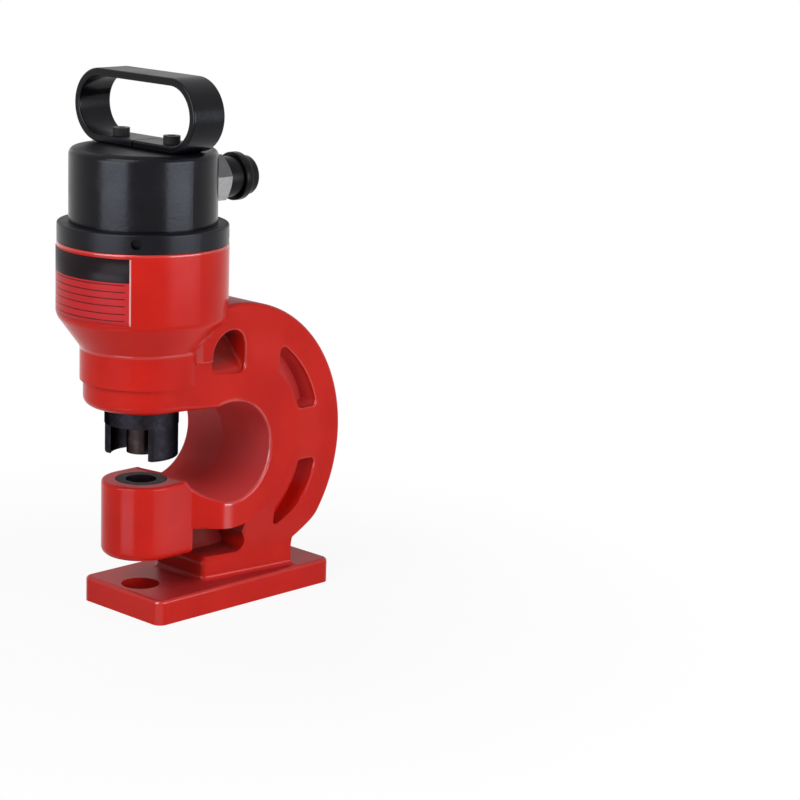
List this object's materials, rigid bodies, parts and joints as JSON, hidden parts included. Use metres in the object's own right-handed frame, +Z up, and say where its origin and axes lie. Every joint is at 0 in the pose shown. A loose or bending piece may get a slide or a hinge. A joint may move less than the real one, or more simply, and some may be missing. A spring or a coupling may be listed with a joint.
{
  "type": "hydraulic busbar punching head",
  "caption": "C-frame hydraulic punching head for busbar: red cast frame on a foot plate, spring-return ram with punch, stripper and die, black cylinder with carrying handle and capped coupler.",
  "frame": {"origin": "on the punch axis, in the plane of the foot plate's underside", "axes": "+Z up along the punch axis, -Y towards the open throat, +Y towards the frame's spine and the coupler"},
  "size_m": [0.116, 0.1961, 0.3535],
  "materials": {
    "red_paint": "gloss paint on a casting",
    "black_paint": "gloss black",
    "dark_steel": "blackened tool steel",
    "punch_steel": "ground tool steel",
    "ground_steel": "ground and polished",
    "plated_steel": "bright plated",
    "spring_steel": "oiled spring wire",
    "bronze": "turned",
    "seal_rubber": "matte",
    "ring_plastic": "machined",
    "bonded_seal": "plated washer with a rubber lip",
    "black_cap": "moulded"
  },
  "bodies": {
    "frame": {"c_frame": "red_paint", "die": "dark_steel", "die_grub_screw": "dark_steel", "stripper": "dark_steel", "rod_wiper": "seal_rubber", "guide_bush": "bronze", "return_spring": "spring_steel", "cylinder_barrel": "black_paint", "lock_ring": "black_paint", "handle": "black_paint", "handle_bolts": "dark_steel", "port_seal": "bonded_seal", "coupler_nipple": "plated_steel", "valve_seat": "plated_steel", "valve_spring": "spring_steel"},
    "ram_and_punch": {"ram": "ground_steel", "piston_wear_ring": "ring_plastic", "piston_backup_ring": "ring_plastic", "piston_seal": "seal_rubber", "punch": "punch_steel", "punch_nut": "dark_steel"},
    "coupler_poppet": {"coupler_poppet": "bronze"},
    "dust_cap": {"dust_cap": "black_cap"}
  },
  "joints": [
    {"name": "ram_stroke", "type": "slide", "parent": "frame", "child": "ram_and_punch", "axis": [0, 0, -1], "range_m": [0, 0.025], "stiffness_N_per_m": 8700, "springref_m": -0.02, "deforming": ["return_spring"]},
    {"name": "poppet_press", "type": "slide", "parent": "frame", "child": "coupler_poppet", "axis": [0, -1, 0], "range_m": [0, 0.004], "stiffness_N_per_m": 4100, "springref_m": -0.003, "deforming": ["valve_spring"]},
    {"name": "dust_cap_pull", "type": "slide", "parent": "frame", "child": "dust_cap", "axis": [0, 1, 0], "range_m": [0, 0.03]}
  ]
}
